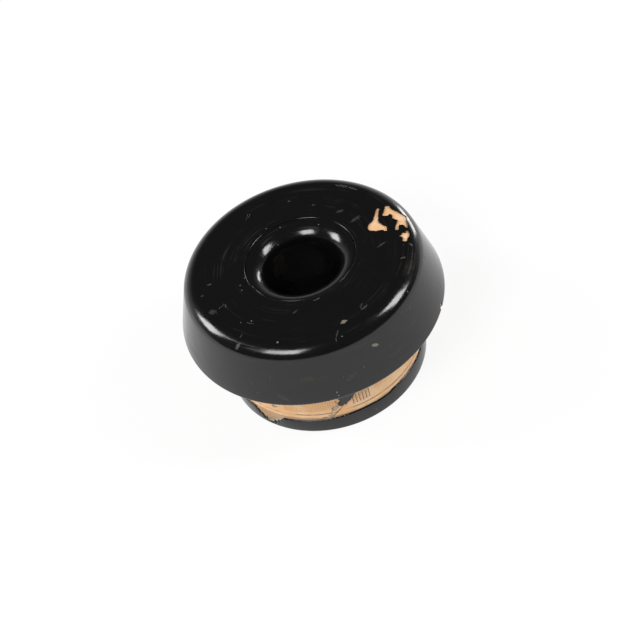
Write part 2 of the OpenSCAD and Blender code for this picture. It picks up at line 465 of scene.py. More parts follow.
class Effects:
    """The shader node groups that several finishes share, each built once."""

    def __init__(self) -> None:
        """Builds the groups."""
        self.place = self._place()
        self.mark = self._mark()
        self.swirl = self._swirl()
        self.mottle = self._mottle()
        self.specks = self._specks()

    @staticmethod
    def _place() -> bpy.types.NodeTree:
        """Where a point lies round the axis.

        Returns:
            A group from an object place to X, Y, Height and Radius in millimetres, Turn in
            degrees from -Y towards +X, and Along, the length round the surface.
        """
        graph, given, result = new_group(
            "place_round_axis", {}, ["X", "Y", "Height", "Radius", "Turn", "Along"], ["Place"]
        )
        scaled = graph.node("ShaderNodeVectorMath", operation="SCALE")
        graph.feed(scaled.inputs[0], given.outputs["Place"])
        scaled.inputs["Scale"].default_value = 1 / MM
        split = graph.node("ShaderNodeSeparateXYZ")
        graph.feed(split.inputs[0], scaled.outputs[0])
        x, y, z = split.outputs
        radius = graph.math("SQRT", graph.total(graph.math("MULTIPLY", x, x),
                                                graph.math("MULTIPLY", y, y)))
        turn = graph.math("ARCTAN2", x, graph.math("MULTIPLY", y, -1.0))
        for key, value in (("X", x), ("Y", y), ("Height", z), ("Radius", radius),
                           ("Turn", graph.math("DEGREES", turn)),
                           ("Along", graph.math("MULTIPLY", turn, radius))):
            graph.feed(result.inputs[key], value)
        return graph.tree

    @staticmethod
    def _mark() -> bpy.types.NodeTree:
        """An oval mark with a broken edge.

        Returns:
            A group from two coordinates to a mask.
        """
        graph, given, result = new_group(
            "oval_mark",
            {"U": 0.0, "V": 0.0, "Centre U": 0.0, "Centre V": 0.0, "Length": 1.0, "Width": 0.5,
             "Turn": 0.0, "Ragged": 0.3},
            ["Mask"],
        )
        off_u = graph.math("SUBTRACT", given.outputs["U"], given.outputs["Centre U"])
        off_v = graph.math("SUBTRACT", given.outputs["V"], given.outputs["Centre V"])
        cos = graph.math("COSINE", given.outputs["Turn"])
        sin = graph.math("SINE", given.outputs["Turn"])
        along = graph.total(graph.math("MULTIPLY", off_u, cos), graph.math("MULTIPLY", off_v, sin))
        across = graph.math("SUBTRACT", graph.math("MULTIPLY", off_v, cos),
                            graph.math("MULTIPLY", off_u, sin))
        share_l = graph.math("DIVIDE", graph.math("MULTIPLY", along, 2.0), given.outputs["Length"])
        share_w = graph.math("DIVIDE", graph.math("MULTIPLY", across, 2.0), given.outputs["Width"])
        reach = graph.math("SQRT", graph.total(graph.math("MULTIPLY", share_l, share_l),
                                               graph.math("MULTIPLY", share_w, share_w)))
        spot = graph.joined(given.outputs["U"], given.outputs["V"], 0.0)
        grain = graph.noise(spot, 2.6, 3.0, 0.6)
        throw = graph.math("MULTIPLY", graph.math("SUBTRACT", grain, 0.5),
                           graph.math("MULTIPLY", given.outputs["Ragged"], 4.0))
        graph.feed(result.inputs["Mask"],
                   graph.span(graph.total(reach, throw), 0.75, 1.1, 1.0, 0.0))
        return graph.tree

    @staticmethod
    def _swirl() -> bpy.types.NodeTree:
        """Fine rings left by turning and wiping.

        Returns:
            A group from Radius and Turn, with a Pitch in rings per millimetre, to a Lines value
            about 0.5.
        """
        graph, given, result = new_group(
            "turned_rings", {"Radius": 0.0, "Turn": 0.0, "Pitch": 3.0}, ["Lines"]
        )
        ring = graph.math("MULTIPLY", given.outputs["Radius"], given.outputs["Pitch"])
        side = graph.math("COSINE", graph.math("RADIANS", given.outputs["Turn"]))
        other = graph.math("SINE", graph.math("RADIANS", given.outputs["Turn"]))
        graph.feed(result.inputs["Lines"],
                   graph.noise(graph.joined(ring, side, other), 1.0, 4.0, 0.65))
        return graph.tree

    @staticmethod
    def _specks() -> bpy.types.NodeTree:
        """Small nicks scattered in loose clusters.

        Returns:
            A group from an object place to a mask.
        """
        graph, given, result = new_group("scattered_nicks", {"Scale": 560.0}, ["Mask"], ["Place"])
        cells = graph.node("ShaderNodeTexVoronoi")
        graph.feed(cells.inputs["Vector"], given.outputs["Place"])
        graph.feed(cells.inputs["Scale"], given.outputs["Scale"])
        near = graph.span(cells.outputs["Distance"], 0.05, 0.11, 1.0, 0.0)
        cluster = graph.noise(given.outputs["Place"], 120.0, 2.0, 0.5)
        graph.feed(result.inputs["Mask"],
                   graph.math("MULTIPLY", near, graph.span(cluster, 0.56, 0.62)))
        return graph.tree

    @staticmethod
    def _mottle() -> bpy.types.NodeTree:
        """Uneven patches at two sizes.

        Returns:
            A group from an object place to a Broad and a Fine value about 0.5.
        """
        graph, given, result = new_group("mottle", {"Broad": 200.0, "Fine": 1500.0},
                                         ["Broad", "Fine"], ["Place"])
        graph.feed(result.inputs["Broad"],
                   graph.noise(given.outputs["Place"], given.outputs["Broad"], 3.0, 0.55))
        graph.feed(result.inputs["Fine"],
                   graph.noise(given.outputs["Place"], given.outputs["Fine"], 4.0, 0.6))
        return graph.tree


def empty_material(name: str,
                   shader_kind: str) -> tuple[Graph, bpy.types.Material, bpy.types.Node]:
    """Makes a material with one shader on its output.

    Args:
        name: The material's name.
        shader_kind: The shader node's type.

    Returns:
        Its graph, the material and the shader node.
    """
    material = bpy.data.materials.new(name)
    material.use_nodes = True
    graph = Graph(material.node_tree)
    graph.tree.nodes.clear()
    shader = graph.node(shader_kind)
    output = graph.node("ShaderNodeOutputMaterial")
    graph.feed(output.inputs["Surface"], shader.outputs[0])
    return graph, material, shader


def object_place(graph: Graph) -> Socket:
    """The object coordinates of the shaded point, in metres."""
    return graph.node("ShaderNodeTexCoord").outputs["Object"]


def new_material(name: str) -> tuple[Graph, bpy.types.Material, bpy.types.Node, Socket]:
    """Makes a material with a Principled shader.

    Args:
        name: The material's name.

    Returns:
        Its graph, the material, the shader node and the object place.
    """
    graph, material, shader = empty_material(name, "ShaderNodeBsdfPrincipled")
    return graph, material, shader, object_place(graph)


def bumped(graph: Graph, height: Socket, depth_mm: float,
           under: Optional[Socket] = None) -> Socket:
    """Adds a bump.

    Args:
        graph: The material's graph.
        height: The height, 0 to 1.
        depth_mm: The depth that a height of 1 stands for.
        under: A normal that the bump lies on.

    Returns:
        The bumped normal.
    """
    node = graph.node("ShaderNodeBump")
    node.inputs["Distance"].default_value = depth_mm * MM
    graph.feed(node.inputs["Height"], height)
    if under is not None:
        graph.feed(node.inputs["Normal"], under)
    return node.outputs["Normal"]


# ---------------------------------------------------------------------------------------------
# Marks of use
# ---------------------------------------------------------------------------------------------


class Harm(Enum):
    """What a mark did to the coat: how deep it goes and what shows in it."""

    NICK = "nick"
    SCRATCH = "scratch"
    # Smudges rub the coat; the large soft ones on the wall also lighten it as painted reflection.
    SMUDGE_AND_REFLECTION = "smudge_and_reflection"
    PALE = "pale"


@dataclass(frozen=True)
class Mark:
    """An oval mark on a surface.

    Attributes:
        u: Its centre's first coordinate in millimetres, or in degrees on a wall.
        v: Its centre's second coordinate in millimetres.
        length: Length, in the unit of u.
        width: Width in millimetres.
        turn: Its length's direction in degrees from u.
        harm: What it did to the coat.
        ragged: How broken its edge is.
    """

    u: float
    v: float
    length: float
    width: float
    turn: float
    harm: Harm
    ragged: float = 0.3


# Seen from above: u towards +X, v towards +Y.
TOP_MARKS: tuple[Mark, ...] = (
    Mark(16.6, -3.2, 2.2, 0.35, 22, Harm.SCRATCH),
    Mark(19.7, -8.5, 1.1, 0.4, -8, Harm.NICK),
    Mark(9.3, -18.2, 1.5, 0.5, 28, Harm.NICK, 0.5),
    Mark(8.7, -17.6, 0.9, 0.3, 60, Harm.SCRATCH),
    Mark(4.5, -20.3, 1.3, 0.8, 12, Harm.PALE, 0.35),
    Mark(2.6, -22.6, 1.3, 0.22, 58, Harm.SCRATCH, 0.6),
    Mark(2.1, -23.5, 0.7, 0.2, 75, Harm.SCRATCH, 0.6),
    Mark(-8.8, -20.3, 0.45, 0.4, 0, Harm.PALE, 0.2),
    Mark(-16.5, -17.4, 1.1, 0.6, 15, Harm.NICK, 0.5),
    Mark(-15.4, -15.9, 0.8, 0.3, 50, Harm.SCRATCH, 0.6),
    Mark(-21.1, -2.2, 0.7, 0.5, 10, Harm.SMUDGE_AND_REFLECTION, 0.5),
    Mark(-19.1, 0.3, 1.0, 0.35, -5, Harm.NICK, 0.5),
    Mark(-17.6, -6.6, 1.5, 0.25, 30, Harm.SCRATCH, 0.7),
    Mark(-16.9, -6.9, 1.1, 0.2, 75, Harm.SCRATCH, 0.7),
    Mark(-19.8, -7.4, 1.2, 1.5, 60, Harm.SMUDGE_AND_REFLECTION, 0.6),
    Mark(-8.1, 16.5, 1.9, 0.16, 66, Harm.SCRATCH, 0.4),
    Mark(-7.5, 16.6, 1.5, 0.14, 66, Harm.SCRATCH, 0.4),
    Mark(13.4, 6.2, 2.4, 0.8, 22, Harm.SMUDGE_AND_REFLECTION, 0.8),
    Mark(10.9, 9.8, 1.6, 0.8, 10, Harm.SMUDGE_AND_REFLECTION, 0.8),
    Mark(6.1, 14.0, 0.8, 0.3, -20, Harm.NICK, 0.5),
    Mark(1.4, 17.4, 0.6, 0.35, -20, Harm.NICK, 0.4),
    Mark(13.0, 17.2, 2.6, 0.5, -35, Harm.SCRATCH, 0.8),
    Mark(15.2, 15.2, 1.9, 0.4, -48, Harm.SCRATCH, 0.8),
    Mark(0.8, -12.5, 1.4, 0.3, 8, Harm.NICK, 0.7),
    Mark(22.2, -5.4, 0.8, 0.3, -60, Harm.NICK, 0.6),
    Mark(-13.0, -13.4, 1.4, 0.2, -35, Harm.SCRATCH, 0.6),
    Mark(-4.0, -14.0, 1.0, 0.4, 30, Harm.SMUDGE_AND_REFLECTION, 0.8),
)

# Seen from outside: u in degrees from -Y towards +X, v in millimetres up from the skirt's edge.
WALL_MARKS: tuple[Mark, ...] = (
    Mark(20.5, 8.0, 3.2, 0.75, -12, Harm.PALE, 0.25),
    Mark(-44.0, 4.6, 1.2, 0.4, 20, Harm.NICK, 0.5),
    Mark(-37.5, 4.5, 0.9, 0.4, 0, Harm.NICK, 0.4),
    Mark(-28.6, 6.7, 1.4, 0.35, -30, Harm.NICK, 0.5),
    Mark(-35.0, 2.8, 0.8, 0.35, 0, Harm.NICK, 0.4),
    Mark(-1.5, 1.9, 0.8, 0.35, 0, Harm.PALE, 0.4),
    Mark(-1.2, 1.1, 0.7, 0.3, 0, Harm.PALE, 0.4),
    Mark(-1.8, 0.3, 0.8, 0.35, 0, Harm.PALE, 0.4),
    Mark(73.0, 10.0, 1.6, 0.35, 0, Harm.NICK, 0.5),
    Mark(39.0, 9.6, 1.8, 0.3, 10, Harm.NICK, 0.7),
    # The three large soft smudges below lighten the front wall: partly smudging, partly painted
    # reflection.
    Mark(-12.0, 6.0, 7.0, 1.2, 0, Harm.SMUDGE_AND_REFLECTION, 0.9),
    Mark(6.0, 4.0, 6.0, 1.0, 10, Harm.SMUDGE_AND_REFLECTION, 0.9),
    Mark(-24.0, 2.2, 5.0, 1.0, -10, Harm.SMUDGE_AND_REFLECTION, 0.9),
)


@dataclass(frozen=True)
class Scoring:
    """A run of upright scored lines on the neck.

    Attributes:
        start: Direction of its first line, in degrees from -Y towards +X.
        end: Direction of its last line.
        pitch: Step between the lines, in degrees.
        low: Height of the lines' lower ends.
        high: Height of their upper ends.
    """

    start: float
    end: float
    pitch: float
    low: float = 6.4
    high: float = 9.2


FINE_SCORING = Scoring(-34.0, -4.0, 1.4)
COARSE_SCORING = Scoring(5.2, 15.5, 1.95)

# On the neck: u in millimetres along the surface from -Y towards +X, v the height.
NECK_CRACK = Mark(-2.05, 5.05, 4.7, 0.4, 44.0, Harm.SCRATCH, 0.4)
NECK_RUST = Mark(-4.7, 4.15, 1.4, 0.5, 11.5, Harm.SMUDGE_AND_REFLECTION, 0.6)


# ---------------------------------------------------------------------------------------------
# Finishes
# ---------------------------------------------------------------------------------------------


@dataclass(frozen=True)
class BlackCoat:
    """The glossy black coat, scuffed and a little uneven.

    Attributes:
        black: Its colour.
        worn_and_reflection: Colour of the coat where it is rubbed, also laid on the wall's large
            smudges as painted reflection.
        pale: Colour of the clay dust in the pale marks.
        gloss: Roughness of the untouched coat.
    """

    black: Colour = (0.0045, 0.0045, 0.0048)
    worn_and_reflection: Colour = (0.040, 0.034, 0.026)
    pale: Colour = (0.20, 0.17, 0.13)
    gloss: float = 0.13

    def material(self, name: str, effects: Effects, top: Sequence[Mark] = (),
                 wall: Sequence[Mark] = ()) -> bpy.types.Material:
        """Makes the coat for one stretch.

        Args:
            name: The material's name.
            effects: The shared node groups.
            top: Marks on the top face.
            wall: Marks on the outer wall.

        Returns:
            The material.
        """
        graph, material, shader, place = new_material(name)
        where = graph.group(effects.place, Place=place).outputs
        mottle = graph.group(effects.mottle, Place=place, Broad=170.0, Fine=1300.0).outputs
        rings = graph.group(effects.swirl, Radius=where["Radius"], Turn=where["Turn"],
                            Pitch=2.4).outputs["Lines"]
        masks: dict[Harm, Value] = {harm: 0.0 for harm in Harm}
        for mark in top:
            self._add(graph, effects, masks, mark, where["X"], where["Y"])
        for mark in wall:
            self._add(graph, effects, masks, mark, where["Turn"],
                      graph.math("SUBTRACT", where["Height"], self._skirt_z()))
        scuff = graph.math("MULTIPLY", graph.span(rings, 0.52, 0.72),
                           graph.span(mottle["Broad"], 0.42, 0.62))
        colour = graph.mix(graph.math("MULTIPLY", scuff, 0.35), self.black, self.worn_and_reflection)
        # Scratches and smudges are mixed towards the worn colour; on the wall's large smudges this
        # lighter colour is painted reflection.
        rubbed = graph.most(masks[Harm.SMUDGE_AND_REFLECTION], graph.math("MULTIPLY", masks[Harm.SCRATCH], 0.8))
        colour = graph.mix(graph.math("MULTIPLY", rubbed, 0.5), colour, self.worn_and_reflection)
        colour = graph.mix(graph.math("MULTIPLY", masks[Harm.NICK], 0.8), colour, self.worn_and_reflection)
        colour = graph.mix(graph.math("MULTIPLY", masks[Harm.PALE], 0.8), colour, self.pale)
        chips = graph.group(effects.specks, Place=place).outputs["Mask"]
        colour = graph.mix(graph.math("MULTIPLY", chips, 0.35), colour, self.pale)
        graph.feed(shader.inputs["Base Color"], colour)
        any_mark = graph.most(chips, *masks.values())
        rough = graph.total(
            graph.span(mottle["Fine"], 0.3, 0.75, self.gloss, self.gloss + 0.05),
            graph.math("MULTIPLY", scuff, 0.22),
            graph.math("MULTIPLY", any_mark, 0.35),
        )
        graph.feed(shader.inputs["Roughness"], rough)
        normal = bumped(graph, mottle["Broad"], 0.045)
        normal = bumped(graph, rings, 0.012, normal)
        normal = bumped(graph, mottle["Fine"], 0.0016, normal)
        pits = graph.math("SUBTRACT", 1.0, graph.most(
            masks[Harm.NICK],
            chips,
            graph.math("MULTIPLY", masks[Harm.SCRATCH], 0.6),
            graph.math("MULTIPLY", masks[Harm.PALE], 0.7),
            graph.math("MULTIPLY", masks[Harm.SMUDGE_AND_REFLECTION], 0.15),
        ))
        graph.feed(shader.inputs["Normal"], bumped(graph, pits, 0.09, normal))
        shader.inputs["IOR"].default_value = 1.5
        return material

    @staticmethod
    def _skirt_z() -> float:
        """Height of the skirt's lower edge in millimetres."""
        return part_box("cap_glaze")[0].z / MM

    @staticmethod
    def _add(graph: Graph, effects: Effects, masks: dict[Harm, Value], mark: Mark,
             u: Socket, v: Socket) -> None:
        """Adds one mark to the masks."""
        mask = graph.group(
            effects.mark, U=u, V=v, Centre_U=mark.u, Centre_V=mark.v, Length=mark.length,
            Width=mark.width, Turn=math.radians(mark.turn), Ragged=mark.ragged,
        ).outputs["Mask"]
        held = masks[mark.harm]
        masks[mark.harm] = mask if isinstance(held, float) else graph.math("MAXIMUM", held, mask)


@dataclass(frozen=True)
class FiredClay:
    """Bare fired clay, matt and faintly speckled.

    Attributes:
        clay: Its main colour.
        pale: Colour of its rubbed patches.
        dark: Colour of its stained patches.
        stain: Colour of the dirt in its deep marks.
        grime: Colour of the grey dirt in its cracks.
        rust: Colour of its rust spots.
        seam_black: Near-black colour painted on the clay in the narrow seam round the lip.
        seam_z: Height from which the seam's clay is painted near-black.
        seam_r: Radius of that seam.
        seam_z: Height from which the seam is dirty.
        line_z: Height of the turned line round the neck.
        edge_low: Height over the foot's coat up to which the dirt along its edge is thickest.
        edge_high: Height over the foot's coat at which that dirt ends.
        grain_h: Height of the clay's grain.
        groove_h: Depth of the scoring, the turned line and the cracks.
    """

    clay: Colour = (0.66, 0.385, 0.185)
    pale: Colour = (0.74, 0.50, 0.30)
    dark: Colour = (0.44, 0.22, 0.09)
    stain: Colour = (0.07, 0.045, 0.03)
    grime: Colour = (0.13, 0.115, 0.085)
    rust: Colour = (0.42, 0.12, 0.05)
    seam_black: Colour = (0.006, 0.005, 0.005)
    seam_r: float = 11.5
    seam_z: float = 27.5
    line_z: float = 5.35
    edge_low: float = 3.9
    edge_high: float = 4.3
    grain_h: float = 0.03
    groove_h: float = 0.12

    def material(self, name: str, effects: Effects) -> bpy.types.Material:
        """Makes plain bare clay."""
        graph, material, shader, place = new_material(name)
        colour, mottle = self._body(graph, effects, place)
        graph.feed(shader.inputs["Base Color"], colour)
        graph.feed(shader.inputs["Roughness"], graph.span(mottle["Fine"], 0.3, 0.7, 0.75, 0.9))
        normal = bumped(graph, mottle["Fine"], self.grain_h)
        graph.feed(shader.inputs["Normal"], bumped(graph, mottle["Broad"], 0.05, normal))
        return material

    def neck(self, name: str, effects: Effects, sizes: Sizes) -> bpy.types.Material:
        """Makes the neck's clay, with its scoring, its turned line and its stains.

        Args:
            name: The material's name.
            effects: The shared node groups.
            sizes: The frame's sizes.

        Returns:
            The material.
        """
        graph, material, shader, place = new_material(name)
        where = graph.group(effects.place, Place=place).outputs
        colour, mottle = self._body(graph, effects, place)
        fine = self._scored(graph, where, mottle["Fine"], FINE_SCORING)
        coarse = self._scored(graph, where, mottle["Fine"], COARSE_SCORING)
        off_line = graph.math("ABSOLUTE", graph.math("SUBTRACT", where["Height"], self.line_z))
        ring = graph.math("MULTIPLY", graph.span(off_line, 0.08, 0.2, 1.0, 0.0),
                          graph.span(mottle["Broad"], 0.4, 0.56))
        crack = self._stained(graph, effects, where, NECK_CRACK)
        rust = self._stained(graph, effects, where, NECK_RUST)
        for mask, share, shown in ((fine, 0.35, self.dark), (coarse, 0.75, self.stain),
                                   (ring, 0.7, self.grime), (crack, 0.75, self.grime),
                                   (rust, 0.7, self.rust)):
            colour = graph.mix(graph.math("MULTIPLY", mask, share), colour, shown)
        low, high = sizes.dry_z + self.edge_low, sizes.dry_z + self.edge_high
        edge = graph.span(where["Height"], low, high, 0.45, 0.0)
        colour = graph.mix(edge, colour, self.stain)
        graph.feed(shader.inputs["Base Color"], colour)
        graph.feed(shader.inputs["Roughness"], graph.span(mottle["Fine"], 0.3, 0.7, 0.7, 0.9))
        shallow = graph.math("MULTIPLY", fine, 0.35)
        grooves = graph.math("SUBTRACT", 1.0, graph.most(shallow, coarse, ring, crack))
        normal = bumped(graph, mottle["Fine"], self.grain_h)
        graph.feed(shader.inputs["Normal"], bumped(graph, grooves, self.groove_h, normal))
        return material

    @staticmethod
    def _stained(graph: Graph, effects: Effects, where: dict[str, Socket], mark: Mark) -> Socket:
        """The mask of one stain on the neck, whose u runs along the surface in millimetres."""
        return graph.group(
            effects.mark, U=where["Along"], V=where["Height"], Centre_U=mark.u, Centre_V=mark.v,
            Length=mark.length, Width=mark.width, Turn=math.radians(mark.turn),
            Ragged=mark.ragged,
        ).outputs["Mask"]

    @staticmethod
    def _scored(graph: Graph, where: dict[str, Socket], grain: Socket,
                run: Scoring) -> Socket:
        """A run of upright scored lines.

        Args:
            graph: The material's graph.
            where: The place round the axis.
            grain: Fine noise that breaks the lines up.
            run: The run.

        Returns:
            The lines' mask.
        """
        steps = graph.math("DIVIDE", graph.math("SUBTRACT", where["Turn"], run.start), run.pitch)
        wave = graph.math("COSINE", graph.math("MULTIPLY", steps, 2 * math.pi))
        lines = graph.span(graph.total(wave, graph.math("MULTIPLY", grain, 0.6)), 0.75, 1.15)
        along = graph.math("MULTIPLY", graph.span(where["Turn"], run.start - 1, run.start),
                           graph.span(where["Turn"], run.end, run.end + 1, 1.0, 0.0))
        upright = graph.math("MULTIPLY", graph.span(where["Height"], run.low - 0.2, run.low + 0.1),
                             graph.span(where["Height"], run.high - 0.4, run.high + 0.2, 1.0, 0.0))
        return graph.math("MULTIPLY", lines, graph.math("MULTIPLY", along, upright))

    def _body(self, graph: Graph, effects: Effects,
              place: Socket) -> tuple[Socket, dict[str, Socket]]:
        """The clay's own colour and its mottle."""
        mottle = graph.group(effects.mottle, Place=place, Broad=260.0, Fine=2600.0).outputs
        colour = graph.mix(graph.span(mottle["Broad"], 0.35, 0.7), self.clay, self.pale)
        colour = graph.mix(graph.span(mottle["Fine"], 0.56, 0.75, 0.0, 0.45), colour, self.dark)
        where = graph.group(effects.place, Place=place).outputs
        # The clay in the narrow seam round the lip is painted near-black.
        near_seam = graph.math("ABSOLUTE", graph.math("SUBTRACT", where["Radius"], self.seam_r))
        seam = graph.math("MULTIPLY", graph.span(near_seam, 0.3, 0.5, 1.0, 0.0),
                          graph.span(where["Height"], self.seam_z, self.seam_z + 0.5))
        return graph.mix(seam, colour, self.seam_black), mottle


@dataclass(frozen=True)
class CementPaste:
    """Set cement, grey and rough.

    Attributes:
        grey: Its main colour.
        dust: Colour of its dry dust.
    """

    grey: Colour = (0.20, 0.19, 0.16)
    dust: Colour = (0.42, 0.39, 0.32)

    def material(self, name: str, effects: Effects) -> bpy.types.Material:
        """Makes the cement."""
        graph, material, shader, place = new_material(name)
        mottle = graph.group(effects.mottle, Place=place, Broad=900.0, Fine=3200.0).outputs
        graph.feed(shader.inputs["Base Color"],
                   graph.mix(graph.span(mottle["Broad"], 0.4, 0.65), self.grey, self.dust))
        graph.feed(shader.inputs["Roughness"], graph.span(mottle["Fine"], 0.3, 0.7, 0.8, 0.95))
        graph.feed(shader.inputs["Normal"], bumped(graph, mottle["Fine"], 0.08))
        return material


# ---------------------------------------------------------------------------------------------
# Sub-assemblies
# ---------------------------------------------------------------------------------------------


BOOT_CHIP: tuple[Point, ...] = (
    (18.4, 7.6), (18.8, 7.1), (18.4, 6.4), (18.1, 5.4), (17.9, 4.4), (17.6, 3.6), (17.9, 2.9),
    (18.2, 2.3), (18.7, 1.8), (18.8, 1.1), (18.6, 0.2), (18.3, 0.2), (17.9, 0.7), (17.3, 0.9),
    (16.4, 1.0), (15.8, 1.4), (15.2, 1.8), (15.0, 2.4), (15.2, 3.0), (15.8, 3.8), (16.6, 4.3),
    (16.9, 4.7), (17.1, 5.3), (17.6, 6.2), (18.0, 7.0),
)
SHOULDER_CHIP: tuple[Point, ...] = (
    (18.7, 5.1), (19.3, 5.8), (19.6, 6.5), (19.9, 7.1), (20.3, 7.4), (20.8, 7.2), (21.0, 6.2),
    (21.5, 5.5), (22.0, 5.0), (22.6, 4.2), (23.0, 3.7), (23.5, 3.2), (23.4, 2.4), (23.1, 1.6),
    (23.0, 0.6), (22.9, -0.4), (22.6, -0.6), (22.3, 0.0), (22.1, 0.5), (21.4, 0.8), (21.1, 0.3),
    (21.0, -0.3), (20.7, -0.5), (20.2, -0.3), (20.4, 0.5), (20.6, 1.0), (21.0, 1.4), (21.4, 2.1),
    (21.1, 2.5), (20.7, 3.0), (20.4, 3.3), (20.7, 3.7), (20.6, 4.4), (20.2, 4.6), (19.9, 4.3),
    (19.4, 4.5), (18.9, 4.7),
)
SMALL_CHIP: tuple[Point, ...] = (
    (21.3, -1.4), (21.6, -1.6), (22.1, -1.8), (22.1, -1.2), (22.4, -1.1), (22.7, -1.5),
    (22.7, -2.2), (22.5, -2.9), (22.0, -3.5), (21.7, -4.2), (21.3, -4.3), (20.8, -4.0),
    (21.0, -3.3), (21.0, -2.8), (20.6, -2.4), (20.7, -2.0), (21.1, -2.0),
)


@dataclass
class CapCoat:
    """The coat over the cap, from the seam round the lip to the drip recess.

    Attributes:
        sizes: The frame's sizes.
        seam_gap: Width of the open seam.
        edge_r: Radius of the coat's rounded edge at the seam.
        shoulder_r: Radius of the shoulder.
        wall_lean: Lean of the wall from upright, in degrees.
        rim_r: Radius of the skirt's two lower edges.
        skirt_t: Thickness of the skirt at its lower edge.
        recess_h: Height of the drip recess.
        cove_r: Radius between the recess's wall and its ceiling.
        cement_t: Thickness of the cement beside the neck.
        chip_rough: Raggedness of the chips' edges.
        clear: How far a chip's cutter reaches past the shoulder, above and below.
        knock_turn: Direction of the chip on the rim, in degrees from -Y towards +X.
        knock_r: Radius of that chip.
        steps: Stretches round the axis.
        stretches: The outline's stretches, each as its two ends and the normal's direction there.
    """

    sizes: Sizes
    seam_gap: float = 0.15
    edge_r: float = 0.18
    shoulder_r: float = 3.7
    wall_lean: float = 17.0
    rim_r: float = 0.6
    skirt_t: float = 3.2
    recess_h: float = 3.0
    cove_r: float = 1.8
    cement_t: float = 0.4
    chip_rough: float = 0.14
    clear: float = 2.0
    knock_turn: float = 62.0
    knock_r: float = 0.75
    steps: int = 240
    stretches: list[tuple[Point, Point, float, float]] = field(default_factory=list, init=False)

    def surface(self, depth: float) -> list[Point]:
        """The cap's outline at a depth beneath the finished surface.

        Args:
            depth: Depth in millimetres.

        Returns:
            Points from the seam over the shoulder, the wall and the rim to the cement.
        """
        size = self.sizes
        lean = math.radians(self.wall_lean)
        recess_r = size.skirt_r - self.skirt_t
        rim_out = (size.skirt_r - self.rim_r, size.skirt_z + self.rim_r)
        rim_in = (recess_r + self.rim_r, size.skirt_z + self.rim_r)
        ceiling_z = size.skirt_z + self.recess_h
        cove = (recess_r - self.cove_r, ceiling_z - self.cove_r)
        shoulder_z = size.top_z - self.shoulder_r
        drop = (shoulder_z - rim_out[1]) * math.sin(lean)
        shoulder = (rim_out[0] - (self.shoulder_r - self.rim_r + drop) / math.cos(lean), shoulder_z)
        seam_r = size.spigot_r + self.seam_gap
        start = (seam_r + self.edge_r, size.top_z - depth)
        shoulder_arc = arc(shoulder, self.shoulder_r - depth, 90, self.wall_lean, 22)
        out_arc = arc(rim_out, self.rim_r - depth, self.wall_lean, -90, 8)
        in_arc = arc(rim_in, self.rim_r - depth, -90, -180, 6)
        cove_arc = arc(cove, self.cove_r + depth, 0, 90, 8)
        end = (size.neck_r + self.cement_t, ceiling_z + depth)
        return [
            start,
            *line(start, shoulder_arc[0], 6),
            *shoulder_arc,
            *line(shoulder_arc[-1], out_arc[0], 5),
            *out_arc,
            *line(out_arc[-1], in_arc[0], 2),
            *in_arc,
            *line(in_arc[-1], cove_arc[0], 2),
            *cove_arc,
            end,
        ]

    def normal_at(self, spot: Vector) -> Vector:
        """The smooth coat's normal at a point on it.

        Args:
            spot: The point, in metres.

        Returns:
            The outward normal.
        """
        r, z = math.hypot(spot.x, spot.y) / MM, spot.z / MM
        best, found = math.inf, (0.0, 1.0)
        for (r0, z0), (r1, z1), slope0, slope1 in self.stretches:
            length = (r1 - r0) ** 2 + (z1 - z0) ** 2
            share = max(0.0, min(1.0, ((r - r0) * (r1 - r0) + (z - z0) * (z1 - z0)) / length))
            off = (r - r0 - share * (r1 - r0)) ** 2 + (z - z0 - share * (z1 - z0)) ** 2
            if off < best:
                best = off
                slope = slope0 + (slope1 - slope0) * share
                found = (math.cos(slope), math.sin(slope))
        out = Vector((spot.x, spot.y, 0)).normalized() * found[0]
        return Vector((out.x, out.y, found[1]))

    def _learn_normals(self) -> None:
        """Works out the outline's own normals, as directions in the outline's plane."""
        points = self.surface(0.0)
        slopes = [math.atan2(r1 - r0, -(z1 - z0)) for (r0, z0), (r1, z1) in zip(points, points[1:])]
        at_points = [slopes[0]] + [(a + b) / 2 for a, b in zip(slopes, slopes[1:])] + [slopes[-1]]
        self.stretches = list(zip(points, points[1:], at_points, at_points[1:]))

    def build(self, coat: bpy.types.Material, broken: bpy.types.Material) -> bpy.types.Object:
        """Builds the coat and cuts its chips.

        Args:
            coat: The coat's finish.
            broken: Finish of the chips' walls.

        Returns:
            The piece.
        """
        size = self.sizes
        seam_r = size.spigot_r + self.seam_gap
        edge = arc((seam_r + self.edge_r, size.top_z - self.edge_r), self.edge_r, 180, 90, 4)
        under = self.surface(size.coat_t)[::-1]
        under[-1] = (seam_r, size.top_z - size.coat_t)
        form = revolve([*edge[:-1], *self.surface(0.0), *under], self.steps)
        piece = finished(form, "cap_coat", coat, broken)
        self._learn_normals()
        low, high = size.top_z - self.shoulder_r - self.clear, size.top_z + self.clear
        for seed, chip in enumerate((BOOT_CHIP, SHOULDER_CHIP, SMALL_CHIP), start=7):
            jagged = ragged(chip, self.chip_rough, 1, seed)
            self._chip(piece, prism(jagged, low, high), broken)
        self._chip(piece, self._rim_knock(), broken)
        keep_form_normals(piece, 1, self.normal_at)
        return piece

    def _rim_knock(self) -> bmesh.types.BMesh:
        """A lumpy ball that knocks a chip out of the rim."""
        form = bmesh.new()
        bmesh.ops.create_icosphere(form, subdivisions=3, radius=self.knock_r * MM)
        dice = random.Random(5)
        for vertex in form.verts:
            vertex.co *= dice.uniform(0.9, 1.1)
        turn = math.radians(self.knock_turn)
        spot = Vector((math.sin(turn), -math.cos(turn), 0))
        place = spot * self.sizes.skirt_r * MM
        place.z = (self.sizes.skirt_z + self.rim_r) * MM
        bmesh.ops.translate(form, verts=form.verts, vec=place)
        return form

    @staticmethod
    def _chip(piece: bpy.types.Object, form: bmesh.types.BMesh,
              broken: bpy.types.Material) -> None:
        """Cuts one chip, whose walls take the broken finish."""
        carve(piece, finished(form, "cutter", broken), "DIFFERENCE")


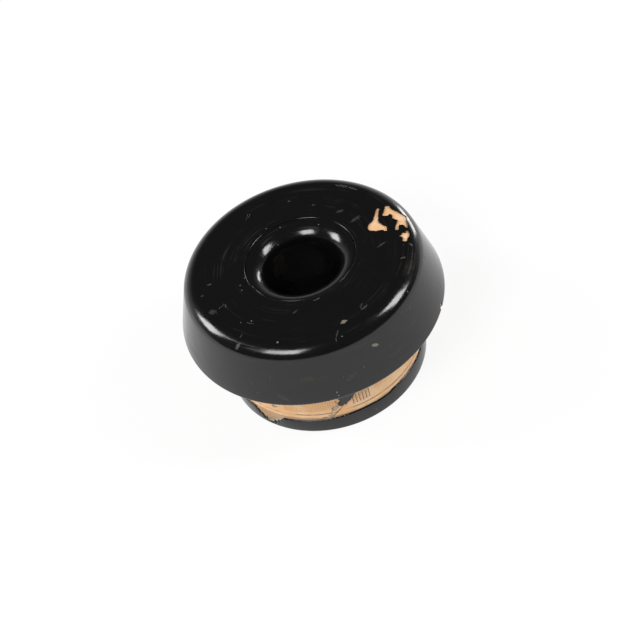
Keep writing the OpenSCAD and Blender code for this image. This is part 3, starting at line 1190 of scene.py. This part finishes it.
@dataclass
class BoreLining:
    """The coat over the rolled lip and down the bore, pooled to a roll round the throat.

    Attributes:
        sizes: The frame's sizes.
        clay_r: Radius of the clay's rounded lip beneath the coat.
        lip_r: Radius of the lip's broad curve.
        slope: Slope of that curve at its outer edge, in degrees.
        turn: Direction in which it turns down into the bore, in degrees up from level.
        throat_r: Radius of that turn.
        sink: How far the lip's outer edge lies beneath the top face.
        edge_r: Radius of the coat's rounded edge at the seam.
        steps: Stretches round the axis.
    """

    sizes: Sizes
    clay_r: float = 2.2
    lip_r: float = 4.5
    slope: float = 8.0
    turn: float = 38.0
    throat_r: float = 1.2
    sink: float = 0.2
    edge_r: float = 0.1
    steps: int = 160

    def build(self, coat: bpy.types.Material) -> bpy.types.Object:
        """Builds the lining."""
        size = self.sizes
        slope, turn = math.radians(self.slope), math.radians(self.turn)
        lip_z = size.top_z - self.sink
        lip_edge = size.spigot_r - self.edge_r
        centre = (lip_edge + self.lip_r * math.sin(slope), lip_z - self.lip_r * math.cos(slope))
        inward = self.lip_r - self.throat_r
        throat = (centre[0] - inward * math.cos(turn), centre[1] + inward * math.sin(turn))
        edge = arc((lip_edge, lip_z - self.edge_r), self.edge_r, 0, 90, 4)
        over = arc(centre, self.lip_r, 90 + self.slope, 180 - self.turn, 16)[1:]
        down = arc(throat, self.throat_r, 180 - self.turn, 180, 8)[1:]
        bottom = [(size.bore_r, throat[1] - 3), (size.bore_r, size.mouth_z),
                  (size.bore_r + size.coat_t, size.mouth_z)]
        clay = (size.bore_r + size.coat_t + self.clay_r, size.top_z - size.coat_t - self.clay_r)
        under = arc(clay, self.clay_r, 180, 110, 8)
        last = (size.spigot_r, lip_z - self.edge_r - 0.1)
        form = revolve([*edge, *over, *down, *bottom, *under, last], self.steps)
        return finished(form, "bore_lining", coat)


@dataclass
class FootCoat:
    """The band of coat round the foot, with the uneven line it was dipped to.

    Attributes:
        sizes: The frame's sizes.
        dip_z: Mean height of the dip line.
        tilt: How far the line rises and falls round the foot.
        step_turn: Direction of the small step in the line.
        step_h: Height of that step.
        bite_turn: Direction of the bite's deepest point, in degrees from -Y towards +X.
        bite_half: Half of the bite's width, in degrees.
        bite_z: Height of the bite's deepest point.
        flat_z: Height of the band's upper edge before it is lifted to the line.
        least_h: Least height of the band.
        steps: Stretches round the axis.
    """

    sizes: Sizes
    dip_z: float = 3.75
    tilt: float = 0.35
    step_turn: float = 28.0
    step_h: float = 0.35
    bite_turn: float = -47.0
    bite_half: float = 10.0
    bite_z: float = 0.5
    flat_z: float = 1.3
    least_h: float = 0.35
    steps: int = 900

    def edge_z(self, turn: float) -> float:
        """Height of the coat's upper edge in one direction.

        Args:
            turn: Direction in degrees from -Y towards +X, within -180 to 180.

        Returns:
            The height in millimetres.
        """
        wave = math.radians(turn)
        height = self.dip_z + 0.12 * math.sin(5 * wave + 1.0) + 0.07 * math.sin(11 * wave)
        height += self.tilt * math.sin(wave - math.radians(-10))
        rise = 1 / (1 + math.exp(-(turn - self.step_turn) * 2.2))
        height += self.step_h * rise * math.exp(-max(0.0, turn - self.step_turn) / 30)
        off = abs(turn - self.bite_turn) / self.bite_half
        if off < 1.0:
            depth = (height - self.bite_z) * (1.0 - off ** 1.25)
            height -= depth + 0.18 * depth * math.sin(turn * 2.3)
        return max(height, self.bite_z)

    def build(self, coat: bpy.types.Material) -> bpy.types.Object:
        """Builds the band and lifts its upper edge to the dip line."""
        size = self.sizes
        t = size.coat_t
        mid = (size.foot_r + size.neck_r) / 2
        outline = [
            (size.neck_r, size.dry_z),
            (size.foot_r, size.dry_z),
            (size.foot_r, size.dry_z + 0.2),
            (size.foot_r, 1.0),
            (size.foot_r - t * 0.12, 1.12),
            (mid, 1.25),
            (size.neck_r + t * 0.05, self.flat_z),
            (size.neck_r, 1.25),
        ]
        form = revolve(outline, self.steps)
        dice = random.Random(11)
        shake = [dice.uniform(-0.03, 0.03) for _ in range(self.steps)]
        for vertex in form.verts:
            if vertex.co.z < 0.9 * MM:
                continue
            turn = math.degrees(math.atan2(vertex.co.x, -vertex.co.y))
            index = int(round((turn + 180) / 360 * self.steps)) % self.steps
            height = self.edge_z(turn) + shake[index]
            vertex.co.z += (max(height, size.dry_z + self.least_h) - self.flat_z) * MM
        bmesh.ops.recalc_face_normals(form, faces=form.faces)
        return finished(form, "foot_coat", coat)


@dataclass
class CoatIsland:
    """The island of coat left on the neck.

    Attributes:
        sizes: The frame's sizes.
        turn: Its direction in degrees from -Y towards +X.
        low: Height of its lower tip.
    """

    sizes: Sizes
    turn: float = 2.0
    low: float = 7.0
    outline: tuple[Point, ...] = (
        (-1.7, 5.6), (-1.9, 2.7), (-1.3, 1.9), (-2.1, 0.9), (-1.5, 0.1), (-0.8, 0.5), (-0.4, 0.1),
        (0.1, 0.9), (0.7, 1.1), (1.3, 2.0), (1.9, 2.6), (2.0, 3.2), (1.8, 5.6),
    )

    def build(self, coat: bpy.types.Material) -> bpy.types.Object:
        """Builds the island from a piece of sleeve."""
        size = self.sizes
        tall = max(v for _, v in self.outline)
        sleeve = [
            (size.neck_r, self.low - 0.5), (size.foot_r, self.low - 0.5),
            (size.foot_r, self.low + tall + 0.5), (size.neck_r, self.low + tall + 0.5),
        ]
        piece = finished(revolve(sleeve, 24, 24.0), "coat_island", coat)
        form = prism(ragged(self.outline, 0.14, 2, 3), 0.0, size.skirt_r)
        upright = Matrix.Rotation(math.radians(90), 3, "X")
        bmesh.ops.rotate(form, verts=form.verts, matrix=upright)
        bmesh.ops.translate(form, verts=form.verts, vec=(0, 0, self.low * MM))
        carve(piece, finished(form, "cutter", coat), "INTERSECT")
        piece.data.transform(Matrix.Rotation(math.radians(self.turn), 4, "Z"))
        piece.data.shade_flat()
        return piece


@dataclass(frozen=True)
class CrumbRun:
    """A run of crumbs along the neck.

    Attributes:
        start: Its start, as (degrees from -Y towards +X, height).
        end: Its end.
        count: How many crumbs it has.
        grain: Their radius.
    """

    start: Point
    end: Point
    count: int
    grain: float


@dataclass
class CementCrumbs:
    """Crumbs of cement that cling to the neck.

    Attributes:
        sizes: The frame's sizes.
        seed: Seed of their places.
        runs: The runs they lie in.
    """

    sizes: Sizes
    seed: int = 21
    runs: tuple[CrumbRun, ...] = (
        CrumbRun((-4.5, 7.1), (-8.0, 5.9), 16, 0.26),
        CrumbRun((-6.0, 6.6), (-6.5, 6.0), 10, 0.36),
        CrumbRun((-8.5, 5.2), (-10.0, 3.6), 9, 0.18),
        CrumbRun((-48.0, 1.0), (-38.0, 2.7), 22, 0.28),
        CrumbRun((-49.0, 0.8), (-45.0, 0.9), 10, 0.32),
        CrumbRun((-42.0, 6.9), (-40.0, 6.6), 7, 0.28),
        CrumbRun((-5.0, 9.2), (-3.6, 7.6), 8, 0.16),
    )

    def build(self, cement: bpy.types.Material) -> bpy.types.Object:
        """Scatters the crumbs along their runs."""
        dice = random.Random(self.seed)
        form = bmesh.new()
        for run in self.runs:
            for _ in range(run.count):
                share = dice.random()
                turn = run.start[0] + (run.end[0] - run.start[0]) * share + dice.gauss(0, 0.5)
                height = run.start[1] + (run.end[1] - run.start[1]) * share + dice.gauss(0, 0.12)
                self._crumb(form, dice, turn, height, run.grain * dice.uniform(0.5, 1.2))
        return finished(form, "cement_crumbs", cement)

    def _crumb(self, form: bmesh.types.BMesh, dice: random.Random, turn: float, height: float,
               grain: float) -> None:
        """Adds one flattened crumb to the neck."""
        made = bmesh.ops.create_icosphere(form, subdivisions=2, radius=grain * MM)["verts"]
        for vertex in made:
            vertex.co *= dice.uniform(0.82, 1.18)
            vertex.co.y *= 0.45
        turned = Matrix.Rotation(math.radians(dice.uniform(0, 90)), 3, "Y")
        bmesh.ops.rotate(form, verts=made, matrix=turned)
        reach = -(self.sizes.neck_r + 0.02) * MM
        bmesh.ops.translate(form, verts=made, vec=(0, reach, height * MM))
        bmesh.ops.rotate(form, verts=made, matrix=Matrix.Rotation(math.radians(turn), 3, "Z"))


# ---------------------------------------------------------------------------------------------
# Studio
# ---------------------------------------------------------------------------------------------


@dataclass(frozen=True)
class Softbox:
    """A lamp with a soft face.

    Attributes:
        name: Its name.
        towards: Direction from the object to the lamp.
        width: Its face's width in metres.
        height: Its face's height in metres.
        glow: Brightness of its face.
        distance: Its distance in metres.
    """

    name: str
    towards: tuple[float, float, float]
    width: float
    height: float
    glow: float
    distance: float = 0.7


@dataclass
class Studio:
    """Floor, lamps, dark ceiling and camera.

    Attributes:
        sizes: The frame's sizes.
        elevation: The camera's height above the horizon, in degrees.
        roll: The camera's roll, in degrees.
        distance: Its distance from the axis at the skirt's edge, in metres.
        lens: Its focal length in millimetres, on a 36 mm sensor.
        shift: Its lens shift.
        floor_r: Radius of the floor in metres.
        floor_glow: How much of the floor's look is its own glow.
        ceiling_r: Radius of the dark ceiling in metres.
        ceiling_glow: Brightness of the ceiling.
        haze: How much brighter its lower edge is behind the object.
        softboxes: The lamps.
    """

    sizes: Sizes
    elevation: float = 46.39
    roll: float = -17.08
    distance: float = 0.2803
    lens: float = 75.05
    shift: tuple[float, float] = (0.0119, -0.0319)
    floor_r: float = 1.3
    floor_glow: float = 0.86
    ceiling_r: float = 1.2
    ceiling_glow: float = 0.035
    haze: float = 0.6
    softboxes: tuple[Softbox, ...] = (
        Softbox("left_back_softbox", (-0.785, 0.32, 0.53), 0.22, 0.26, 14.0),
        Softbox("front_softbox", (-0.459, -0.533, 0.71), 0.30, 0.24, 14.0),
        Softbox("right_softbox", (0.76, -0.15, 0.63), 0.22, 0.30, 14.0),
        Softbox("back_softbox", (0.67, 0.74, 0.12), 0.22, 0.16, 10.0),
    )

    def build(self) -> None:
        """Sets the whole studio up."""
        self._world()
        self._floor()
        self._ceiling()
        for box in self.softboxes:
            self._lamp(box)
        self._camera()
        bpy.context.scene.view_settings.view_transform = "Standard"

    @staticmethod
    def _seen(graph: Graph) -> Socket:
        """One for rays from the camera, a glossy surface or glass, else zero."""
        path = graph.node("ShaderNodeLightPath").outputs
        return graph.most(path["Is Camera Ray"], path["Is Glossy Ray"],
                          path["Is Transmission Ray"])

    def _world(self) -> None:
        """A white surround that gives little light of its own."""
        world = bpy.data.worlds.new("studio")
        world.use_nodes = True
        bpy.context.scene.world = world
        graph = Graph(world.node_tree)
        graph.tree.nodes.clear()
        glow = graph.node("ShaderNodeBackground")
        graph.feed(glow.inputs["Color"], graph.mix(self._seen(graph), (0.25, 0.25, 0.25),
                                                   (1.0, 1.0, 1.0)))
        output = graph.node("ShaderNodeOutputWorld")
        graph.feed(output.inputs["Surface"], glow.outputs[0])

    def _floor(self) -> None:
        """A white floor that keeps a soft shadow."""
        form = bmesh.new()
        bmesh.ops.create_circle(form, cap_ends=True, segments=96, radius=self.floor_r)
        graph, material, blend = empty_material("white_floor", "ShaderNodeMixShader")
        cloth = graph.node("ShaderNodeBsdfDiffuse")
        cloth.inputs["Color"].default_value = (0.85, 0.85, 0.85, 1.0)
        glow = graph.node("ShaderNodeEmission")
        glow.inputs["Strength"].default_value = 1.0
        split = graph.node("ShaderNodeSeparateXYZ")
        graph.feed(split.inputs[0], object_place(graph))
        x, y, _ = split.outputs
        reach = graph.math("SQRT", graph.total(graph.math("MULTIPLY", x, x),
                                               graph.math("MULTIPLY", y, y)))
        beside = graph.span(reach, self.sizes.bore_r * MM, self.sizes.neck_r * MM, 0.0,
                            self.floor_glow)
        graph.feed(blend.inputs[0], graph.math("MULTIPLY", self._seen(graph), beside))
        graph.feed(blend.inputs[1], cloth.outputs[0])
        graph.feed(blend.inputs[2], glow.outputs[0])
        finished(form, "floor", material)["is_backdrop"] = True

    def _ceiling(self) -> None:
        """A dark dome over the lamps, which black gloss mirrors and the camera passes through."""
        form = bmesh.new()
        bmesh.ops.create_uvsphere(form, u_segments=64, v_segments=32, radius=self.ceiling_r)
        bmesh.ops.bisect_plane(form, geom=[*form.verts, *form.edges, *form.faces],
                               plane_co=(0, 0, 0), plane_no=(0, 0, -1), clear_outer=True)
        graph, material, glow = empty_material("dark_ceiling", "ShaderNodeEmission")
        split = graph.node("ShaderNodeSeparateXYZ")
        graph.feed(split.inputs[0], object_place(graph))
        low = graph.span(split.outputs[2], 0.05, 0.65, 1.0, 0.0)
        behind = graph.span(split.outputs[1], -0.1, 0.8)
        haze = graph.math("MULTIPLY", graph.math("MULTIPLY", low, behind), self.haze)
        bright = graph.total(haze, self.ceiling_glow)
        graph.feed(glow.inputs["Color"], graph.mix(bright, (0.0, 0.0, 0.0), (1.0, 1.0, 1.0)))
        dome = finished(form, "dark_ceiling", material)
        dome.visible_camera = False
        dome.visible_diffuse = False
        dome.visible_shadow = False
        dome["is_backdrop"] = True

    def _lamp(self, box: Softbox) -> None:
        """Adds one softbox."""
        lamp = bpy.data.lights.new(box.name, "AREA")
        lamp.shape = "RECTANGLE"
        lamp.size = box.width
        lamp.size_y = box.height
        lamp.energy = box.glow * math.pi * box.width * box.height
        piece = bpy.data.objects.new(box.name, lamp)
        away = Vector(box.towards).normalized()
        centre = Vector((0, 0, self.sizes.skirt_z * MM))
        piece.location = centre + away * box.distance
        piece.rotation_euler = away.to_track_quat("Z", "Y").to_euler()
        piece.visible_camera = False
        bpy.context.scene.collection.objects.link(piece)

    def _camera(self) -> None:
        """Sets the camera."""
        camera = bpy.data.cameras.new("camera")
        camera.lens = self.lens
        camera.sensor_width = 36.0
        camera.shift_x, camera.shift_y = self.shift
        camera.clip_start = 0.01
        camera.clip_end = 10.0
        piece = bpy.data.objects.new("camera", camera)
        rise, lean = math.radians(self.elevation), math.radians(self.roll)
        away = Vector((0, -math.cos(rise), math.sin(rise)))
        flat = Vector((1, 0, 0))
        steep = Vector((0, math.sin(rise), math.cos(rise)))
        right = flat * math.cos(lean) + steep * math.sin(lean)
        up = steep * math.cos(lean) - flat * math.sin(lean)
        turn = Matrix((right, up, away)).transposed().to_4x4()
        centre = Vector((0, 0, self.sizes.skirt_z * MM))
        piece.matrix_world = Matrix.Translation(centre + away * self.distance) @ turn
        bpy.context.scene.collection.objects.link(piece)
        bpy.context.scene.camera = piece


# ---------------------------------------------------------------------------------------------
# The whole object
# ---------------------------------------------------------------------------------------------


def settle(piece: bpy.types.Object, slot: Slot, *nodes: str) -> None:
    """Makes a piece part of the object and reports it.

    Args:
        piece: The finished piece.
        slot: The record's slot that it takes its finish from; not used.
        nodes: Frame nodes that it stands for.
    """
    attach(piece, "root")
    if nodes:
        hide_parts(*nodes)
    LOG.info("%s: %d faces, stands for %s", piece.name, len(piece.data.polygons),
             ", ".join(nodes) or "nothing")


def dress(node: str, material: bpy.types.Material) -> None:
    """Gives a frame node its finish.

    Args:
        node: The node's name.
        material: The finish.
    """
    piece = frame["nodes"][node]
    if not piece.material_slots:
        piece.data.materials.append(material)
    for slot in piece.material_slots:
        slot.material = material
    LOG.info("%s: dressed in %s", node, material.name)


def write_sizes() -> None:
    """Works out the frame's box and the dressed object's box, and keeps neither.
    """
    boxes = {"cad": CAD_BOX, "visual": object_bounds()}
    {key: [list(corner) for corner in box] for key, box in boxes.items()}


def main() -> None:
    """Builds and dresses the insulator and sets its studio up."""
    sizes = Sizes.from_frame()
    effects = Effects()
    coat = BlackCoat()
    clay = FiredClay()
    cap_black = coat.material("cap_black", effects, TOP_MARKS, WALL_MARKS)
    plain_black = coat.material("plain_black", effects)
    bare_clay = clay.material("bare_clay", effects)
    neck_clay = clay.neck("neck_clay", effects, sizes)
    cement = CementPaste().material("set_cement", effects)

    dress("cap_shell", bare_clay)
    dress("spool_core", neck_clay)
    dress("cement_joint", cement)
    settle(CapCoat(sizes).build(cap_black, plain_black), Slot.COAT, "cap_glaze")
    settle(BoreLining(sizes).build(plain_black), Slot.COAT, "bore_glaze")
    settle(FootCoat(sizes).build(plain_black), Slot.COAT, "foot_glaze")
    settle(CoatIsland(sizes).build(plain_black), Slot.COAT, "neck_glaze_patch")
    settle(CementCrumbs(sizes).build(cement), Slot.CEMENT)
    Studio(sizes).build()
    write_sizes()


if __name__ == "__main__":
    main()
